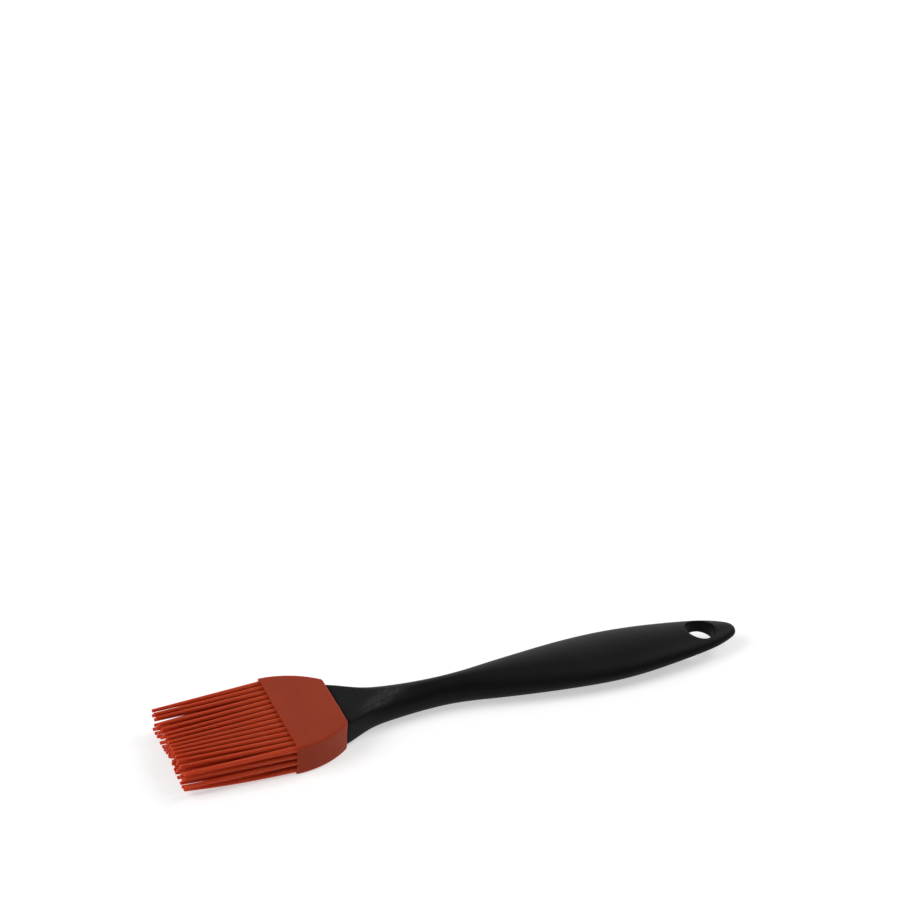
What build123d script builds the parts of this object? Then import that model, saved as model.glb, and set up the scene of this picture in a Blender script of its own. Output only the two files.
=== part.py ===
# Pastry brush: a silicone bristle head pushed onto the tongue of a moulded plastic handle.
#
# Millimetres. +X runs from the bristle tips to the hanging end and +Z is up. The origin is
# midway along the brush, on the surface that it lies on. Both sides of the brush are the
# same. The head is also the same above and below, and the handle is a little deeper below.
from build123d import *
import os

# Overall size
BRUSH_LENGTH = 210.0
BRUSH_THICKNESS = 11.3
MID_Z = BRUSH_THICKNESS / 2
TIP_X = -BRUSH_LENGTH / 2
END_X = BRUSH_LENGTH / 2

# Collar: a flat sleeve with straight-starting, convex sides that narrow towards the handle
BRISTLE_REACH = 38.0
COLLAR_LENGTH = 20.4
COLLAR_FRONT_WIDTH = 40.0
COLLAR_BACK_WIDTH = 24.8
COLLAR_LONG_EDGE_RADIUS = 0.8
COLLAR_BACK_EDGE_RADIUS = 0.5
LIP_WALL = 0.3
LIP_DEPTH = 0.8
LIP_X = TIP_X + BRISTLE_REACH
COLLAR_BACK_X = LIP_X + COLLAR_LENGTH

# Tongue of the handle and the socket that it fills, both a little smaller at the front
TONGUE_LENGTH = 14.0
TONGUE_BACK_SIZE = (20.0, 7.7)
TONGUE_FRONT_SIZE = (19.4, 7.3)
TONGUE_CORNER_RADIUS = 1.8
TONGUE_NOSE_RADIUS = 0.8
SOCKET_SIDE_GAP = 0.15
SOCKET_END_GAP = 0.4
SHOULDER_GAP = 0.15

# Bristles: round, tapered, square-cut, in a grid that closes up a little towards the tips
ROW_COUNT = 4
BRISTLES_PER_ROW = 15
BRISTLE_PITCH = 2.65
BRISTLE_TIP_PITCH = 2.5
ROW_PITCH = 2.65
ROW_TIP_PITCH = 2.3
ROOT_RADIUS = 1.1
TIP_RADIUS = 0.6
ROOT_X = LIP_X - 0.5

# Handle stations, each: distance behind the collar, half width, height above and below the
# middle plane, and how square the section is (0.55 is an ellipse, 1 is close to a rectangle)
HANDLE_STATIONS = (
    (0.0, 11.9, 4.10, 5.00, 0.92),
    (3.0, 10.6, 4.15, 4.85, 0.90),
    (6.0, 9.4, 4.20, 4.85, 0.86),
    (10.0, 7.8, 4.35, 5.05, 0.78),
    (15.0, 6.8, 4.45, 5.25, 0.70),
    (21.0, 6.0, 4.60, 5.35, 0.63),
    (31.0, 4.9, 4.95, 5.30, 0.58),
    (42.0, 4.8, 5.30, 5.20, 0.56),
    (56.0, 7.1, 5.25, 5.40, 0.58),
    (70.0, 9.5, 5.10, 5.60, 0.59),
    (86.0, 11.6, 5.00, 5.60, 0.59),
    (103.0, 12.4, 4.70, 5.50, 0.59),
    (118.0, 11.2, 4.60, 4.60, 0.59),
    (132.0, 9.1, 3.95, 3.20, 0.59),
    (142.0, 6.8, 3.30, 2.40, 0.59),
    (148.0, 4.3, 2.50, 1.75, 0.58),
    (151.0, 1.9, 1.35, 0.85, 0.57),
)

# Hanging hole, straight through the thin end of the handle
HOLE_FROM_END = 14.2
HOLE_RADIUS = 5.3
HOLE_EDGE_RADIUS = 0.45


def section_face(x, half_width, above, below, squareness):
    """One closed handle section, square to X, from four curved quarters."""
    quarters = []
    for side_y, side_z in ((1, above), (-1, above), (-1, -below), (1, -below)):
        y = side_y * half_width
        z = side_z
        points = [
            Vector(x, y, MID_Z),
            Vector(x, y, MID_Z + squareness * z),
            Vector(x, squareness * y, MID_Z + z),
            Vector(x, 0, MID_Z + z),
        ]
        if side_y * side_z < 0:
            points.reverse()
        quarters.append(Edge.make_bezier(*points))
    return Face(Wire(quarters))


def rounded_block(x_from, size_from, x_to, size_to, corner_radius, grow=0.0):
    """A block along X with rounded long edges, from one width and thickness to another."""
    faces = []
    for x, (width, thickness) in ((x_from, size_from), (x_to, size_to)):
        outline = RectangleRounded(width + 2 * grow, thickness + 2 * grow, corner_radius + grow)
        faces.append(Plane(origin=(x, 0, MID_Z), x_dir=(0, 1, 0), z_dir=(1, 0, 0)) * outline)
    return loft(faces, ruled=True)


def make_handle():
    """Grip, neck, hanging hole and the tongue hidden in the collar, moulded as one."""
    start_x = COLLAR_BACK_X + SHOULDER_GAP
    sections = []
    for distance, half_width, above, below, squareness in HANDLE_STATIONS:
        sections.append(section_face(start_x + distance, half_width, above, below, squareness))
    grip = loft(sections + [Vertex(END_X, 0, MID_Z)])

    tongue_tip_x = COLLAR_BACK_X - TONGUE_LENGTH
    tongue = rounded_block(
        tongue_tip_x, TONGUE_FRONT_SIZE, start_x + 1.0, TONGUE_BACK_SIZE, TONGUE_CORNER_RADIUS
    )
    tongue = fillet(tongue.faces().sort_by(Axis.X)[0].edges(), TONGUE_NOSE_RADIUS)

    hole_x = END_X - HOLE_FROM_END
    hole = Pos(hole_x, 0, MID_Z) * Cylinder(HOLE_RADIUS, 2 * BRUSH_THICKNESS)
    handle = grip + tongue - hole
    rim = [e for e in handle.edges() if is_hole_rim(e, hole_x)]
    return fillet(rim, HOLE_EDGE_RADIUS)


def is_hole_rim(edge, hole_x):
    """True for the edges where the hanging hole breaks through the top and bottom."""
    points = [edge @ 0, edge @ 0.5, edge @ 1]
    on_wall = all(abs(Vector(p.X - hole_x, p.Y).length - HOLE_RADIUS) < 0.01 for p in points)
    return on_wall and abs((edge @ 0.5).Z - MID_Z) > 1.0


def collar_outline():
    """Plan of the collar, from lip to back edge, with sides that start parallel to X."""
    front = COLLAR_FRONT_WIDTH / 2
    back = COLLAR_BACK_WIDTH / 2
    near_side = TangentArc((LIP_X, -front), (COLLAR_BACK_X, -back), tangent=(1, 0))
    back_edge = Line((COLLAR_BACK_X, -back), (COLLAR_BACK_X, back))
    far_side = TangentArc((LIP_X, front), (COLLAR_BACK_X, back), tangent=(1, 0))
    front_edge = Line((LIP_X, front), (LIP_X, -front))
    return make_face([near_side, back_edge, far_side, front_edge])


def make_collar():
    """Silicone sleeve: lip around the bristles in front, blind socket for the tongue behind."""
    body = extrude(collar_outline(), BRUSH_THICKNESS)
    long_edges = body.edges().filter_by(GeomType.CIRCLE)
    body = fillet(long_edges, COLLAR_LONG_EDGE_RADIUS)
    body = fillet(body.faces().sort_by(Axis.X)[-1].edges(), COLLAR_BACK_EDGE_RADIUS)

    mouth_corner = COLLAR_LONG_EDGE_RADIUS - LIP_WALL
    mouth_size = (COLLAR_FRONT_WIDTH - 2 * LIP_WALL, BRUSH_THICKNESS - 2 * LIP_WALL)
    mouth = rounded_block(LIP_X - 1, mouth_size, LIP_X + LIP_DEPTH, mouth_size, mouth_corner)
    socket_tip_x = COLLAR_BACK_X - TONGUE_LENGTH - SOCKET_END_GAP
    socket = rounded_block(
        socket_tip_x,
        TONGUE_FRONT_SIZE,
        COLLAR_BACK_X + 1,
        TONGUE_BACK_SIZE,
        TONGUE_CORNER_RADIUS,
        grow=SOCKET_SIDE_GAP,
    )
    return body - mouth - socket


def make_bristle(length):
    """One bristle standing on its ball-shaped root at the origin, pointing along +Z."""
    outline = make_face(
        [
            CenterArc((0, 0), ROOT_RADIUS, -90, 90),
            Line((ROOT_RADIUS, 0), (TIP_RADIUS, length)),
            Line((TIP_RADIUS, length), (0, length)),
            Line((0, length), (0, -ROOT_RADIUS)),
        ]
    )
    return revolve(Plane.XZ * outline, Axis.Z)


def make_bristle_row(row):
    """The bristles of one row, top row first, each a solid of its own."""
    rows_above_middle = (ROW_COUNT - 1) / 2 - row
    root_z = MID_Z + rows_above_middle * ROW_PITCH
    tip_z = MID_Z + rows_above_middle * ROW_TIP_PITCH
    bristles = []
    for index in range(BRISTLES_PER_ROW):
        place = index - (BRISTLES_PER_ROW - 1) / 2
        root = Vector(ROOT_X, place * BRISTLE_PITCH, root_z)
        tip = Vector(TIP_X, place * BRISTLE_TIP_PITCH, tip_z)
        reach = tip - root
        bristles.append(Plane(origin=root, z_dir=reach) * make_bristle(reach.length))
    return Compound(bristles)


def main():
    os.makedirs("parts", exist_ok=True)
    export_step(make_handle(), "parts/handle.step")
    export_step(make_collar(), "parts/collar.step")
    for row in range(ROW_COUNT):
        export_step(make_bristle_row(row), f"parts/bristle_row_{row + 1}.step")


main()
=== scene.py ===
import math

import bmesh
import bpy
import numpy as np
from mathutils import Matrix, Vector


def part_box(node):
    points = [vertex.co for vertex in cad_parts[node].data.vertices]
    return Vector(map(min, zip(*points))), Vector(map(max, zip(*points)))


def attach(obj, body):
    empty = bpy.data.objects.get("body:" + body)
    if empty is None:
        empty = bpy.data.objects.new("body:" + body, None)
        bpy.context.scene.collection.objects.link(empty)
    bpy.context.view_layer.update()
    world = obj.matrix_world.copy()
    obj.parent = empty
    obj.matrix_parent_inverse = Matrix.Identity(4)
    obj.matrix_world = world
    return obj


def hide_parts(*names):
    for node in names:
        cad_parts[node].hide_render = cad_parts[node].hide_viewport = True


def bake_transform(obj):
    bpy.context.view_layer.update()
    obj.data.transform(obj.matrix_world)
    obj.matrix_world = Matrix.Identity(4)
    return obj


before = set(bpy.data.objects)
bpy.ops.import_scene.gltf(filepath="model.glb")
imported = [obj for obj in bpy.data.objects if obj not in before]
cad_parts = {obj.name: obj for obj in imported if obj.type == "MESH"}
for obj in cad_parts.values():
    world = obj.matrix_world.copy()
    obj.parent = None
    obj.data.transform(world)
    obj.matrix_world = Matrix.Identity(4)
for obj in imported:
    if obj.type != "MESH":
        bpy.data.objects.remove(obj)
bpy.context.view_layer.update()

MM = 0.001

# Places and sizes that come from the boxes of the CAD nodes
collar_low, collar_high = (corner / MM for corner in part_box("collar"))
LIP_X = collar_low.x
COLLAR_BACK_X = collar_high.x
COLLAR_FRONT_HALF_WIDTH = collar_high.y
MID_Z = collar_high.z / 2
END_X = (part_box("handle")[1] / MM).x
CAD_TIP_X = (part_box("bristle_row_1")[0] / MM).x

# Points in a dense curve before it is thinned out, and the least angle of a sharp edge
SHOULDER_POINTS = 240
CORNER_POINTS = 40
SHARP_ANGLE = math.radians(42)

# Handle stations, each: distance behind the shoulder, half width, height above and below the
# middle plane, how square the section is, half width of its flats above and below, and how
# much later the upper curve leaves the side, which reads as a crease along it
HANDLE_STATIONS = (
    (0.0, 11.9, 4.10, 5.00, 0.82, 10.6, 0.04),
    (3.0, 10.6, 4.15, 4.90, 0.80, 9.2, 0.08),
    (6.0, 9.4, 4.20, 4.90, 0.76, 7.2, 0.13),
    (10.0, 7.8, 4.35, 5.15, 0.68, 4.6, 0.19),
    (15.0, 6.8, 4.45, 5.35, 0.62, 2.2, 0.23),
    (21.0, 6.0, 4.60, 5.45, 0.60, 0.8, 0.20),
    (31.0, 4.9, 4.95, 5.35, 0.58, 0.0, 0.12),
    (42.0, 4.8, 5.30, 5.20, 0.56, 0.0, 0.06),
    (56.0, 7.1, 5.25, 5.40, 0.58, 0.0, 0.03),
    (70.0, 9.5, 5.10, 5.60, 0.59, 0.0, 0.0),
    (86.0, 11.6, 5.00, 5.60, 0.59, 0.0, 0.0),
    (103.0, 12.4, 4.70, 5.50, 0.59, 0.0, 0.0),
    (118.0, 11.2, 4.60, 4.60, 0.59, 0.0, 0.0),
    (132.0, 9.1, 3.95, 3.20, 0.59, 0.0, 0.0),
    (142.0, 6.8, 3.30, 2.40, 0.59, 0.0, 0.0),
    (148.0, 4.3, 2.50, 1.75, 0.58, 0.0, 0.0),
    (151.0, 1.9, 1.35, 0.85, 0.57, 0.0, 0.0),
)
SHOULDER_GAP = 0.15
SHOULDER_EDGE = 0.3
LEAST_FLAT = 0.02
QUARTER_STEPS = 16
STATION_STEP = 1.6
DENSE_STEPS = 4000

# Hanging hole
HOLE_FROM_END = 14.2
HOLE_RADIUS = 5.3
HOLE_EDGE = 0.5
HOLE_REGION_REACH = 13.0
OUTLINE_STEPS = 30
RADIAL_STEPS = 14
HOLE_EDGE_STEPS = 5
HOLE_WALL_STEPS = 3

# Tongue and socket
TONGUE_LENGTH = 14.0
TONGUE_BACK_SIZE = (20.0, 7.7)
TONGUE_FRONT_SIZE = (19.4, 7.3)
TONGUE_CORNER = 1.8
TONGUE_NOSE = 0.8
NOSE_STEPS = 5
SOCKET_GAP = 0.15
SOCKET_END_GAP = 0.4
SOCKET_ENTRY = 0.15

# Collar. The rings around the mouth's floor are given by their distance ahead of it and
# their inset from the mouth's walls
COLLAR_BACK_HALF_WIDTH = 12.4
LONG_EDGE = 0.65
BACK_EDGE = 0.6
BACK_CORNER = 0.7
LIP_WALL = 0.3
LIP_DEPTH = 0.8
LIP_EDGE = 0.12
LIP_EDGE_STEPS = 3
MOUTH_FLOOR_RINGS = ((0.0, 0.25), (0.07, 0.07), (0.25, 0.0))
FIRST_SIDE_RING = 0.5
SIDE_RINGS = 26
BACK_CORNER_STEPS = 9

# Tab of moulding flash on the collar's back edge
FLASH_Y = -3.7
FLASH_LENGTH = 2.4
FLASH_HEIGHT = 0.3
FLASH_FROM_BACK = 0.27
FLASH_BELOW_TOP = 0.42
FLASH_FOOT = 0.2
FLASH_HALF_THICKNESS = 0.28
FLASH_BLUNTNESS = 0.05
FLASH_RINGS = 9
FLASH_SIDES = 8

# Bristles, in rows from the top down and in places from the far side to the near side. The
# tips have splayed and gathered in use, so each has its own place across the brush. The tips
# of a row are level, except in the bottom row, which arches up in the middle
BRISTLE_PITCH = 2.65
ROOT_X = LIP_X + LIP_DEPTH
ROOT_RADIUS = 1.1
ROOT_FLARE = ((-0.3, 0.28), (0.0, 0.20), (0.25, 0.12), (0.6, 0.05), (1.1, 0.0))
TIP_RADIUS = 0.58
TAPER = 1.1
TIP_EDGE = 0.12
TIP_EDGE_MIDDLE = 0.3
TIP_SHORTFALL = 0.15
TIP_X = CAD_TIP_X + TIP_SHORTFALL
TIP_Y = (
    (17.0, 14.95, 12.8, 9.2, 6.4, 3.6, 1.4, -1.0, -2.9, -4.7, -6.6, -8.6, -11.0, -14.0, -18.3),
    (16.9, 14.6, 11.5, 8.0, 5.1, 2.5, 0.4, -1.6, -3.7, -5.4, -7.3, -10.1, -12.6, -15.3, -17.9),
    (14.6, 12.5, 10.3, 7.6, 5.0, 2.7, 0.7, -1.1, -3.1, -5.5, -8.0, -10.5, -13.7, -15.9, -19.5),
    (16.3, 14.0, 11.7, 8.3, 5.8, 3.8, 1.5, -1.2, -5.0, -7.3, -8.6, -10.9, -13.9, -15.8, -17.9),
)
TIP_Z = (8.9, 6.9, 4.6)
BOTTOM_TIP_Z = (1.7, 1.7, 2.0, 1.9, 2.2, 2.4, 3.0, 3.4, 3.2, 2.6, 2.2, 2.0, 2.0, 1.9, 2.4)
BOTTOM_ROOT_DROP = 0.25
BOTTOM_ROW_LIFT = 3.0
BOTTOM_ROW_SAG = 0.3
BRISTLE_RINGS = 26
BRISTLE_SIDES = 18


class Shell:
    """Rings of points in millimetres, joined by four-sided faces into one mesh."""

    def __init__(self):
        self.points = []
        self.faces = []

    def ring(self, points):
        """Add a closed ring of points; returns their places in the mesh."""
        first = len(self.points)
        self.points.extend(tuple(float(c) for c in p) for p in points)
        return list(range(first, len(self.points)))

    def join(self, one, other):
        """Faces between two rings with the same number of points."""
        for i, start in enumerate(one):
            j = (i + 1) % len(one)
            self.faces.append((start, one[j], other[j], other[i]))

    def join_all(self, rings):
        for one, other in zip(rings, rings[1:]):
            self.join(one, other)

    def cap(self, ring):
        """One face across a ring."""
        self.faces.append(tuple(ring))

    def tube(self, loops):
        """A closed solid through the given loops of points."""
        rings = [self.ring(loop) for loop in loops]
        self.cap(rings[0])
        self.join_all(rings)
        self.cap(rings[-1])

    def build(self, name, material):
        """An object in metres, smooth except across sharp edges."""
        mesh = bpy.data.meshes.new(name)
        mesh.from_pydata([tuple(c * MM for c in p) for p in self.points], [], self.faces)
        shape = bmesh.new()
        shape.from_mesh(mesh)
        bmesh.ops.recalc_face_normals(shape, faces=shape.faces)
        for face in shape.faces:
            face.smooth = True
        for edge in shape.edges:
            if len(edge.link_faces) == 2 and edge.calc_face_angle() > SHARP_ANGLE:
                edge.smooth = False
        shape.to_mesh(mesh)
        shape.free()
        mesh.materials.append(material)
        piece = bpy.data.objects.new(name, mesh)
        bpy.context.scene.collection.objects.link(piece)
        return piece


class Spline:
    """A natural cubic spline through rows of values at rising knots."""

    def __init__(self, knots, rows):
        self.knots = np.asarray(knots, float)
        self.rows = np.asarray(rows, float)
        count = len(self.knots)
        gaps = np.diff(self.knots)
        system = np.eye(count)
        slopes = np.diff(self.rows, axis=0) / gaps[:, None]
        wanted = np.zeros_like(self.rows)
        for i in range(1, count - 1):
            system[i, i - 1 : i + 2] = gaps[i - 1], 2 * (gaps[i - 1] + gaps[i]), gaps[i]
            wanted[i] = 6 * (slopes[i] - slopes[i - 1])
        self.bends = np.linalg.solve(system, wanted)

    def __call__(self, place):
        place = np.atleast_1d(np.asarray(place, float))
        i = np.clip(np.searchsorted(self.knots, place) - 1, 0, len(self.knots) - 2)
        gap = self.knots[i + 1] - self.knots[i]
        b = ((place - self.knots[i]) / gap)[:, None]
        a = 1 - b
        bend = (a**3 - a) * self.bends[i] + (b**3 - b) * self.bends[i + 1]
        return a * self.rows[i] + b * self.rows[i + 1] + bend * gap[:, None] ** 2 / 6


def spread(curve, count):
    """count points along a dense curve, where half a turn takes twice what its length does."""
    steps = np.diff(curve, axis=0)
    lengths = np.hypot(steps[:, 0], steps[:, 1])
    headings = np.unwrap(np.arctan2(steps[:, 1], steps[:, 0]))
    turning = np.abs(np.diff(headings, prepend=headings[0]))
    travelled = np.concatenate([[0.0], np.cumsum(lengths / lengths.sum() + turning / math.pi * 2)])
    wanted = np.linspace(0, travelled[-1], count)
    return np.column_stack([np.interp(wanted, travelled, curve[:, k]) for k in (0, 1)])


def shoulder(half_width, height, squareness, flat, crease=0.0):
    """A quarter of a handle section: a curve from the side to the flat above or below.

    With a crease the curve stays upright for longer at the side, and leaves the flat sooner.
    """
    t = np.linspace(0, 1, SHOULDER_POINTS)[:, None]
    flat = max(flat, LEAST_FLAT)
    reach = half_width - flat
    corners = np.array(
        [
            (half_width, 0),
            (half_width, (squareness + crease) * height),
            (flat + (squareness - crease) * reach, height),
            (flat, height),
        ]
    )
    weights = np.hstack([(1 - t) ** 3, 3 * t * (1 - t) ** 2, 3 * t**2 * (1 - t), t**3])
    return np.vstack([weights @ corners, (0, height)])


def rounded_corner(half_width, half_height, radius):
    """A quarter of a rounded rectangle."""
    turn = np.linspace(0, math.pi / 2, CORNER_POINTS)
    y = half_width - radius + radius * np.cos(turn)
    z = half_height - radius + radius * np.sin(turn)
    arc = np.column_stack([y, z])
    return np.vstack([(half_width, 0), arc, (0, half_height)])


def loop_from_quarters(x, upper, lower):
    """A closed ring square to X, from the quarter above and the quarter below the middle."""
    over = [(y, z) for y, z in upper] + [(-y, z) for y, z in upper[-2::-1]]
    under = [(-y, -z) for y, z in lower[1:]] + [(y, -z) for y, z in lower[-2:0:-1]]
    return [(x, y, MID_Z + z) for y, z in over + under]


# ---------------------------------------------------------------- handle


def handle_spline():
    """Handle stations as one smooth function of the distance travelled along its outline."""
    rows = [list(station) for station in HANDLE_STATIONS]
    for row in rows:
        row[0] += COLLAR_BACK_X + SHOULDER_GAP
    end = [END_X, 0.0, 0.0, 0.0, rows[-1][4], 0.0, 0.0]
    # the last stations again, turned over, so that the outline runs smoothly round the end
    beyond = []
    for row in rows[-1:-3:-1]:
        beyond.append([row[0], -row[1], -row[2], -row[3], *row[4:]])
    points = np.array(rows + [end] + beyond)
    travel = np.concatenate([[0.0], np.cumsum(np.hypot(*np.diff(points[:, :2], axis=0).T))])
    end_travel = travel[len(rows)]
    return Spline(travel, points), end_travel


def handle_ring(row):
    """The handle's section at one row of station values."""
    x, half_width, above, below, squareness, flat, crease = row
    upper = spread(shoulder(half_width, above, squareness, flat, crease), QUARTER_STEPS + 1)
    lower = spread(shoulder(half_width, below, squareness, flat), QUARTER_STEPS + 1)
    return loop_from_quarters(x, upper, lower)


def tongue_ring(x, size, inset=0.0):
    """Section of the tongue, or of its socket, drawn in by an inset."""
    half_width, half_height = size[0] / 2 - inset, size[1] / 2 - inset
    quarter = rounded_corner(half_width, half_height, TONGUE_CORNER - inset * 0.5)
    quarter = spread(quarter, QUARTER_STEPS + 1)
    return loop_from_quarters(x, quarter, quarter)


def make_handle(material):
    """Tongue, neck and grip, and the end with the hanging hole, as one closed skin."""
    shell = Shell()
    spline, end_travel = handle_spline()
    travels = np.linspace(0, end_travel, DENSE_STEPS)
    table = spline(travels)
    hole_x = END_X - HOLE_FROM_END
    travel_at_region = np.interp(hole_x - HOLE_REGION_REACH, table[:, 0], travels)

    # tongue, from its nose back to the shoulder
    tip_x = COLLAR_BACK_X - TONGUE_LENGTH
    shoulder_x = COLLAR_BACK_X + SHOULDER_GAP
    rings = []
    for turn in np.linspace(math.pi / 2, 0, NOSE_STEPS + 1):
        x = tip_x + TONGUE_NOSE * (1 - math.sin(turn))
        inset = TONGUE_NOSE * (1 - math.cos(turn))
        rings.append(shell.ring(tongue_ring(x, TONGUE_FRONT_SIZE, inset)))
    shell.cap(rings[0])
    rings.append(shell.ring(tongue_ring(shoulder_x, TONGUE_BACK_SIZE)))

    # shoulder face with a small rounded edge, then neck and grip up to the hole's region
    for turn in (0.0, math.pi / 4):
        inset = SHOULDER_EDGE * (1 - math.sin(turn))
        row = spline(0)[0].copy()
        row[0] = shoulder_x + SHOULDER_EDGE * (1 - math.cos(turn))
        row[1:4] -= inset
        row[5] -= inset
        rings.append(shell.ring(handle_ring(row)))
    steps = math.ceil((travel_at_region - SHOULDER_EDGE) / STATION_STEP)
    for travel in np.linspace(SHOULDER_EDGE, travel_at_region, steps + 1):
        rings.append(shell.ring(handle_ring(spline(travel)[0])))
    shell.join_all(rings)

    # the end with the hole: a top and a bottom sheet, each from a border to the hole's rim.
    # A border is half of the last ring and then the outline of the handle's end
    last = rings[-1]
    outline = []
    for travel in np.linspace(travel_at_region, end_travel, OUTLINE_STEPS + 1)[1:]:
        outline.append(spline(travel)[0])
    near = [(row[0], -row[1], MID_Z) for row in outline]
    far = [(row[0], row[1], MID_Z) for row in outline[-2::-1]]
    edge = shell.ring(near + far)
    half = 2 * QUARTER_STEPS
    borders = (last[: half + 1] + edge, [last[0]] + last[: half - 1 : -1] + edge)
    top_rim, bottom_rim = (
        hole_sheet(shell, table, hole_x, border, side) for side, border in zip((1, -1), borders)
    )
    wall = [top_rim]
    for share in np.linspace(0, 1, HOLE_WALL_STEPS + 2)[1:-1]:
        points = []
        for top, bottom in zip(top_rim, bottom_rim):
            upper = np.array(shell.points[top])
            lower = np.array(shell.points[bottom])
            points.append(upper * (1 - share) + lower * share)
        wall.append(shell.ring(points))
    shell.join_all(wall + [bottom_rim])
    return shell.build("handle_moulding", material)


def surface_z(table, x, y, side):
    """Height of the handle's top (side 1) or bottom (side -1) at a place around the hole."""
    half_width, above, below, squareness, flat = (
        np.interp(x, table[:, 0], table[:, column]) for column in range(1, 6)
    )
    curve = shoulder(half_width, above if side > 0 else below, squareness, flat)
    return MID_Z + side * np.interp(abs(y), curve[::-1, 0], curve[::-1, 1])


def hole_sheet(shell, table, hole_x, border, side):
    """Surface from a border inwards to the hole's rounded rim; returns the wall's ring."""
    rings = [border]
    ends = [np.array(shell.points[i]) for i in border]
    turns = [math.atan2(p[1], p[0] - hole_x) for p in ends]
    rim_radius = HOLE_RADIUS + HOLE_EDGE
    for share in np.linspace(1, 0, RADIAL_STEPS + 1)[1:]:
        points = []
        for end, turn in zip(ends, turns):
            start = np.array(around_hole(hole_x, rim_radius, turn))
            x, y = start + (end[:2] - start) * math.sin(share * math.pi / 2)
            points.append((x, y, surface_z(table, x, y, side)))
        rings.append(shell.ring(points))
    for share in np.linspace(0, 1, HOLE_EDGE_STEPS + 1)[1:]:
        points = []
        for turn in turns:
            outer = surface_z(table, *around_hole(hole_x, rim_radius, turn), side)
            corner = surface_z(table, *around_hole(hole_x, HOLE_RADIUS, turn), side)
            weights = ((1 - share) ** 2, 2 * share * (1 - share), share**2)
            radius = weights[0] * rim_radius + (weights[1] + weights[2]) * HOLE_RADIUS
            z = np.dot(weights, (outer, corner, corner - side * HOLE_EDGE))
            points.append((*around_hole(hole_x, radius, turn), z))
        rings.append(shell.ring(points))
    shell.join_all(rings)
    return rings[-1]


def around_hole(hole_x, radius, turn):
    """Place (x, y) at a distance from the hole's axis."""
    return hole_x + radius * math.cos(turn), radius * math.sin(turn)


# ---------------------------------------------------------------- collar


def collar_half_width(x):
    """Half width of the collar's plan: an arc from the lip, with the back corners rounded."""
    drop = COLLAR_FRONT_HALF_WIDTH - COLLAR_BACK_HALF_WIDTH
    length = COLLAR_BACK_X - LIP_X
    radius = (length**2 + drop**2) / (2 * drop)
    half_width = COLLAR_FRONT_HALF_WIDTH - radius + math.sqrt(radius**2 - (x - LIP_X) ** 2)
    into_corner = max(0.0, BACK_CORNER - (COLLAR_BACK_X - x))
    return half_width - BACK_CORNER + math.sqrt(BACK_CORNER**2 - into_corner**2)


def collar_ring(x, half_width, half_height, radius):
    """A section of the collar, with rounded corners."""
    quarter = spread(rounded_corner(half_width, half_height, radius), QUARTER_STEPS + 1)
    return loop_from_quarters(x, quarter, quarter)


def make_collar(material):
    """Mouth, lip, outside and socket as one closed skin, with its tab of flash."""
    shell = Shell()
    inner_width = COLLAR_FRONT_HALF_WIDTH - LIP_WALL
    inner_height = MID_Z - LIP_WALL
    inner_radius = LONG_EDGE - LIP_WALL
    rings = []
    # mouth, from its floor out to the lip
    for ahead, inset in MOUTH_FLOOR_RINGS:
        x = ROOT_X - ahead
        ring = collar_ring(x, inner_width - inset, inner_height - inset, inner_radius)
        rings.append(shell.ring(ring))
    for turn in np.linspace(0, math.pi / 2, LIP_EDGE_STEPS + 1):
        grow = LIP_EDGE * (1 - math.cos(turn))
        x = LIP_X + LIP_EDGE * (1 - math.sin(turn))
        ring = collar_ring(x, inner_width + grow, inner_height + grow, inner_radius + grow)
        rings.append(shell.ring(ring))
    for turn in np.linspace(math.pi / 2, 0, LIP_EDGE_STEPS + 1):
        inset = LIP_EDGE * (1 - math.cos(turn))
        x = LIP_X + LIP_EDGE * (1 - math.sin(turn))
        half_width = COLLAR_FRONT_HALF_WIDTH - inset
        rings.append(shell.ring(collar_ring(x, half_width, MID_Z - inset, LONG_EDGE - inset)))
    shell.cap(rings[0])
    # outside
    side_end_x = COLLAR_BACK_X - BACK_CORNER
    for x in np.linspace(LIP_X + FIRST_SIDE_RING, side_end_x, SIDE_RINGS):
        rings.append(shell.ring(collar_ring(x, collar_half_width(x), MID_Z, LONG_EDGE)))
    for turn in np.linspace(0, math.pi / 2, BACK_CORNER_STEPS + 1)[1:]:
        x = side_end_x + BACK_CORNER * math.sin(turn)
        into_edge = max(0.0, BACK_EDGE - (COLLAR_BACK_X - x))
        inset = BACK_EDGE - math.sqrt(BACK_EDGE**2 - into_edge**2)
        rings.append(shell.ring(collar_ring(x, collar_half_width(x), MID_Z - inset, LONG_EDGE)))
    # socket
    socket_tip_x = COLLAR_BACK_X - TONGUE_LENGTH - SOCKET_END_GAP
    entry = np.array(TONGUE_BACK_SIZE) + 2 * SOCKET_GAP
    end = np.array(TONGUE_FRONT_SIZE) + 2 * SOCKET_GAP
    rings.append(shell.ring(tongue_ring(COLLAR_BACK_X, entry + 2 * SOCKET_ENTRY)))
    rings.append(shell.ring(tongue_ring(COLLAR_BACK_X - SOCKET_ENTRY, entry)))
    rings.append(shell.ring(tongue_ring(socket_tip_x + SOCKET_END_GAP, end)))
    rings.append(shell.ring(tongue_ring(socket_tip_x, end, SOCKET_END_GAP)))
    shell.join_all(rings)
    shell.cap(rings[-1])
    add_flash(shell)
    return shell.build("silicone_collar", material)


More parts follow.
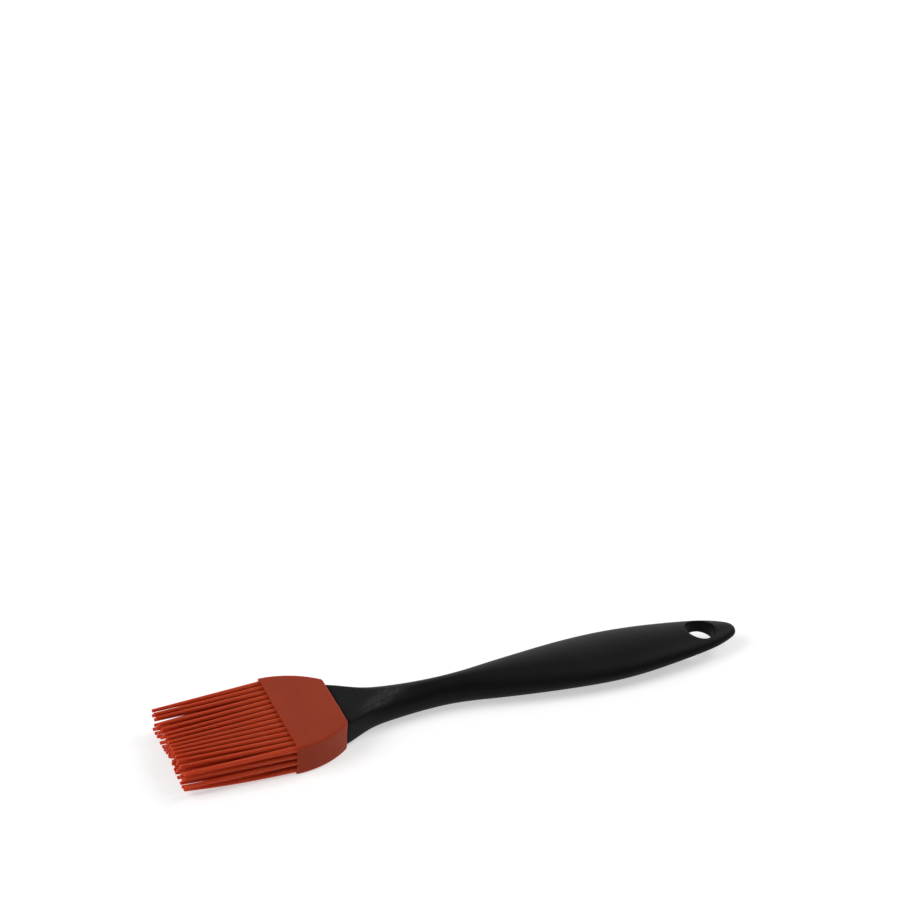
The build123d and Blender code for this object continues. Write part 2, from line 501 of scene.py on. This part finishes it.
def add_flash(shell):
    """Thin tab of moulding flash that stands up from the collar's back edge."""
    middle_x = COLLAR_BACK_X - FLASH_FROM_BACK
    middle_z = 2 * MID_Z - FLASH_BELOW_TOP
    loops = []
    for across in np.linspace(-1, 1, FLASH_RINGS):
        height = FLASH_HEIGHT * math.sqrt(max(FLASH_BLUNTNESS, 1 - across**2))
        y = FLASH_Y + across * FLASH_LENGTH / 2
        loop = []
        for turn in np.linspace(0, 2 * math.pi, FLASH_SIDES, endpoint=False):
            along = (FLASH_HALF_THICKNESS + height / 2) * math.cos(turn)
            up = (FLASH_FOOT + height) * math.sin(turn)
            loop.append((middle_x + along, y, middle_z + up))
        loops.append(loop)
    shell.tube(loops)


# ---------------------------------------------------------------- bristles


def bristle_centre(row, place, share):
    """Centre (y, z) of a bristle a share of the way from its root to its tip."""
    last_row = len(TIP_Y) - 1
    root_y = ((len(TIP_Y[0]) - 1) / 2 - place) * BRISTLE_PITCH
    root_z = MID_Z + (last_row / 2 - row) * BRISTLE_PITCH
    y = root_y + (TIP_Y[row][place] - root_y) * share
    if row < last_row:
        return y, root_z + (TIP_Z[row] - root_z) * share
    root_z -= BOTTOM_ROOT_DROP
    rise = (BOTTOM_TIP_Z[place] - root_z) * share**BOTTOM_ROW_LIFT
    return y, root_z + rise - BOTTOM_ROW_SAG * math.sin(math.pi * share)


def add_bristle(shell, row, place):
    """One round, tapered bristle with a flared root and a square-cut tip."""
    length = ROOT_X - TIP_X
    stations = [(along, ROOT_RADIUS + flare) for along, flare in ROOT_FLARE]
    for along in np.linspace(ROOT_FLARE[-1][0], length - TIP_EDGE, BRISTLE_RINGS)[1:]:
        left = (1 - along / length) ** TAPER
        stations.append((along, TIP_RADIUS + (ROOT_RADIUS - TIP_RADIUS) * left))
    middle = TIP_EDGE * TIP_EDGE_MIDDLE
    stations.append((length - middle, TIP_RADIUS - middle))
    stations.append((length, TIP_RADIUS - TIP_EDGE))
    turns = np.arange(BRISTLE_SIDES) * 2 * math.pi / BRISTLE_SIDES
    loops = []
    for along, radius in stations:
        y, z = bristle_centre(row, place, max(0.0, along / length))
        x = ROOT_X - along
        loops.append([(x, y + radius * math.cos(t), z + radius * math.sin(t)) for t in turns])
    shell.tube(loops)


def make_bristle_row(row, name, material):
    """All the bristles of one row, each a closed solid of its own."""
    shell = Shell()
    for place in range(len(TIP_Y[row])):
        add_bristle(shell, row, place)
    return shell.build(name, material)


# ---------------------------------------------------------------- materials


class Nodes:
    """A material's node tree, with its Principled shader and the pieces it is built from."""

    def __init__(self, name):
        self.material = bpy.data.materials.new(name)
        self.material.use_nodes = True
        self.tree = self.material.node_tree
        self.tree.nodes.clear()
        self.output = self.tree.nodes.new("ShaderNodeOutputMaterial")
        self.shader = self.tree.nodes.new("ShaderNodeBsdfPrincipled")
        self.link(self.shader.outputs[0], self.output.inputs["Surface"])
        self.place = self.add("ShaderNodeTexCoord").outputs["Object"]

    def add(self, kind, **settings):
        made = self.tree.nodes.new(kind)
        for key, value in settings.items():
            setattr(made, key, value)
        return made

    def link(self, output, target):
        self.tree.links.new(output, target)

    def noise(self, scale, detail=2.0, roughness=0.5, place=None):
        made = self.add("ShaderNodeTexNoise")
        made.inputs["Scale"].default_value = scale
        made.inputs["Detail"].default_value = detail
        made.inputs["Roughness"].default_value = roughness
        self.link(place or self.place, made.inputs["Vector"])
        return made.outputs["Fac"]

    def remap(self, value, low, high, to_low, to_high):
        made = self.add("ShaderNodeMapRange", interpolation_type="SMOOTHSTEP")
        self.link(value, made.inputs["Value"])
        made.inputs["From Min"].default_value = low
        made.inputs["From Max"].default_value = high
        made.inputs["To Min"].default_value = to_low
        made.inputs["To Max"].default_value = to_high
        return made.outputs["Result"]

    def math(self, operation, one, other):
        made = self.add("ShaderNodeMath", operation=operation)
        for socket, value in zip(made.inputs, (one, other)):
            if isinstance(value, (int, float)):
                socket.default_value = value
            else:
                self.link(value, socket)
        return made.outputs[0]

    def mix(self, share, one, other):
        """A share of the way from one colour to another; sockets 6 and 7 hold the two."""
        made = self.add("ShaderNodeMix", data_type="RGBA")
        self.link(share, made.inputs["Factor"])
        for socket, value in ((made.inputs[6], one), (made.inputs[7], other)):
            if isinstance(value, tuple):
                socket.default_value = (*value, 1.0)
            else:
                self.link(value, socket)
        return made.outputs[2]

    def bump(self, height, distance, strength):
        made = self.add("ShaderNodeBump")
        made.inputs["Distance"].default_value = distance
        made.inputs["Strength"].default_value = strength
        self.link(height, made.inputs["Height"])
        return made.outputs["Normal"]

    def local(self, centre, turn, size):
        """Coordinates around a centre, turned about Z and measured in its size; all in mm."""
        made = self.add("ShaderNodeMapping", vector_type="TEXTURE")
        made.inputs["Location"].default_value = [c * MM for c in centre]
        made.inputs["Rotation"].default_value = (0.0, 0.0, math.radians(turn))
        made.inputs["Scale"].default_value = [c * MM for c in size]
        self.link(self.place, made.inputs["Vector"])
        return made.outputs["Vector"]

    def patch(self, centre, turn, size, core):
        """Mask of an ellipse that fades out from its core, a share of its size, to its edge."""
        reach = self.add("ShaderNodeVectorMath", operation="LENGTH")
        self.link(self.local(centre, turn, size), reach.inputs[0])
        return self.remap(reach.outputs["Value"], core, 1.0, 1.0, 0.0)

    def specks(self, cells_per_metre, size, share):
        """Mask of small round specks, one in each of a share of the cells that fill space."""
        cells = self.add("ShaderNodeTexVoronoi")
        cells.inputs["Scale"].default_value = cells_per_metre
        self.link(self.place, cells.inputs["Vector"])
        spot = self.remap(cells.outputs["Distance"], size * 0.4, size, 1.0, 0.0)
        split = self.add("ShaderNodeSeparateColor")
        self.link(cells.outputs["Color"], split.inputs[0])
        chosen = self.math("LESS_THAN", split.outputs[0], share)
        return self.math("MULTIPLY", spot, chosen)


def silicone(name, light, deep, pale):
    """Matt silicone that light sinks into, a little blotchy, with pale and dark specks."""
    nodes = Nodes(name)
    shader = nodes.shader
    blotches = nodes.remap(nodes.noise(scale=55.0, detail=3.0), 0.35, 0.65, 0.0, 1.0)
    colour = nodes.mix(blotches, deep, light)
    dust = nodes.specks(cells_per_metre=330.0, size=0.09, share=0.10)
    colour = nodes.mix(dust, colour, pale)
    dark = tuple(c * 0.45 for c in deep)
    pits = nodes.specks(cells_per_metre=410.0, size=0.10, share=0.06)
    colour = nodes.mix(pits, colour, dark)
    nodes.link(colour, shader.inputs["Base Color"])
    grain = nodes.noise(scale=2600.0, detail=3.0, roughness=0.6)
    nodes.link(nodes.remap(grain, 0.3, 0.7, 0.46, 0.60), shader.inputs["Roughness"])
    nodes.link(nodes.bump(grain, distance=0.00004, strength=0.5), shader.inputs["Normal"])
    shader.inputs["Subsurface Weight"].default_value = 0.85
    shader.inputs["Subsurface Radius"].default_value = (1.0, 0.12, 0.04)
    shader.inputs["Subsurface Scale"].default_value = 0.0035
    shader.inputs["IOR"].default_value = 1.41
    shader.inputs["Specular IOR Level"].default_value = 0.2
    return nodes.material


def black_plastic():
    """Matt black plastic with tiny pale specks, and a scuff and a scratch on the neck."""
    nodes = Nodes("black_moulded_plastic")
    shader = nodes.shader
    neck_top = 2 * MID_Z - 1.2
    scuff_centre = (COLLAR_BACK_X + 15.5, -2.6, neck_top)
    scuff_turn = 24.0
    cloud_centre = (COLLAR_BACK_X + 19.5, -0.5, neck_top)
    scratch_centre = (COLLAR_BACK_X + 14.5, -5.0, neck_top)
    scuff = nodes.patch(scuff_centre, scuff_turn, (14.0, 4.2, 3.0), core=0.2)
    cloud = nodes.patch(cloud_centre, 0.0, (8.0, 3.6, 3.0), core=0.1)
    scuff = nodes.math("MAXIMUM", scuff, cloud)
    streak_place = nodes.local(scuff_centre, scuff_turn, (2.6, 0.5, 1.0))
    streaks = nodes.noise(scale=1.0, detail=4.0, roughness=0.6, place=streak_place)
    scuff = nodes.math("MULTIPLY", scuff, nodes.remap(streaks, 0.35, 0.65, 0.15, 1.0))
    scratch = nodes.patch(scratch_centre, 55.0, (1.8, 0.18, 3.0), core=0.3)
    blotches = nodes.remap(nodes.noise(scale=70.0, detail=3.0), 0.35, 0.65, 0.0, 1.0)
    dust = nodes.specks(cells_per_metre=420.0, size=0.08, share=0.10)
    colour = nodes.mix(blotches, (0.0034, 0.0034, 0.0036), (0.0050, 0.0050, 0.0052))
    colour = nodes.mix(scuff, colour, (0.0320, 0.0320, 0.0322))
    colour = nodes.mix(scratch, colour, (0.024, 0.024, 0.024))
    colour = nodes.mix(dust, colour, (0.045, 0.045, 0.045))
    nodes.link(colour, shader.inputs["Base Color"])
    grain = nodes.noise(scale=3600.0, detail=3.0, roughness=0.6)
    nodes.link(nodes.remap(grain, 0.3, 0.7, 0.42, 0.54), shader.inputs["Roughness"])
    nodes.link(nodes.bump(grain, distance=0.00004, strength=0.5), shader.inputs["Normal"])
    shader.inputs["IOR"].default_value = 1.49
    shader.inputs["Specular IOR Level"].default_value = 0.08
    return nodes.material


# ---------------------------------------------------------------- studio


def make_floor():
    """Wide pale floor, just under the brush."""
    half = 4000.0
    level = -0.05
    shell = Shell()
    corners = ((-half, -half), (half, -half), (half, half), (-half, half))
    shell.cap(shell.ring([(x, y, level) for x, y in corners]))
    nodes = Nodes("pale_floor")
    shader = nodes.shader
    tint = nodes.mix(nodes.noise(scale=8.0), (0.56, 0.56, 0.56), (0.58, 0.58, 0.58))
    nodes.link(tint, shader.inputs["Base Color"])
    shader.inputs["Roughness"].default_value = 0.9
    shader.inputs["Specular IOR Level"].default_value = 0.1
    shader.inputs["Emission Color"].default_value = (1.0, 1.0, 1.0, 1.0)
    shader.inputs["Emission Strength"].default_value = 0.5
    floor = shell.build("studio_floor", nodes.material)


def add_softbox(name, place, size, power):
    """An area light at a place in metres, facing the brush; its power is in watts."""
    lamp = bpy.data.lights.new(name, "AREA")
    lamp.shape = "RECTANGLE"
    lamp.size, lamp.size_y = size
    lamp.energy = power
    light = bpy.data.objects.new(name, lamp)
    bpy.context.scene.collection.objects.link(light)
    light.rotation_euler = (-Vector(place)).to_track_quat("-Z", "Y").to_euler()
    light.location = place


def light_studio():
    """Even light from all around, and a softbox at each end of the brush and one behind it."""
    world = bpy.data.worlds.new("studio")
    world.use_nodes = True
    background = world.node_tree.nodes["Background"]
    background.inputs["Color"].default_value = (1.0, 1.0, 1.0, 1.0)
    background.inputs["Strength"].default_value = 0.28
    bpy.context.scene.world = world
    add_softbox("left_softbox", (-1.2, 0.1, 1.1), (0.9, 0.9), 15.0)
    add_softbox("right_softbox", (1.2, 0.1, 1.1), (0.9, 0.9), 12.0)
    add_softbox("back_softbox", (0.8, 1.2, 0.4), (1.6, 0.6), 5.0)


def add_camera():
    """The photograph's viewpoint: above the near side, looking across the brush."""
    place = (-0.28612, -0.61241, 0.50865)
    azimuth = math.radians(24.50)
    pitch = math.radians(31.355)
    roll = math.radians(3.329)
    data = bpy.data.cameras.new("studio_camera")
    data.lens = 96.678
    data.sensor_width = 36.0
    data.clip_start = 0.01
    camera = bpy.data.objects.new("studio_camera", data)
    bpy.context.scene.collection.objects.link(camera)
    turn = Matrix.Rotation(-azimuth, 4, "Z")
    tilt = Matrix.Rotation(math.pi / 2 - pitch, 4, "X")
    lean = Matrix.Rotation(roll, 4, "Z")
    camera.matrix_world = Matrix.Translation(place) @ turn @ tilt @ lean
    bpy.context.scene.camera = camera


# ---------------------------------------------------------------- assembly

collar_material = silicone(
    "orange_silicone_collar",
    light=(0.285, 0.029, 0.0050),
    deep=(0.262, 0.026, 0.0044),
    pale=(0.36, 0.13, 0.09),
)
# The bristles are the same silicone as the collar; this copy is painted lighter than the collar's,
# painted light that fills the shade among the bristles.
bristle_material_painted_lighter = silicone(
    "orange_silicone_bristles_painted_lighter",
    light=(0.408, 0.049, 0.0115),
    deep=(0.384, 0.045, 0.0105),
    pale=(0.41, 0.14, 0.09),
)
handle = make_handle(black_plastic())
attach(handle, "handle")
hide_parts("handle")

collar = make_collar(collar_material)
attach(collar, "head")
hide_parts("collar")

row_names = ("top_bristle_row", "upper_bristle_row", "lower_bristle_row", "bottom_bristle_row")
for row, row_name in enumerate(row_names):
    bristles = make_bristle_row(row, row_name, bristle_material_painted_lighter)
    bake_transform(bristles)
    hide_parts(f"bristle_row_{row + 1}")

make_floor()
light_studio()
add_camera()
bpy.context.scene.view_settings.view_transform = "Standard"
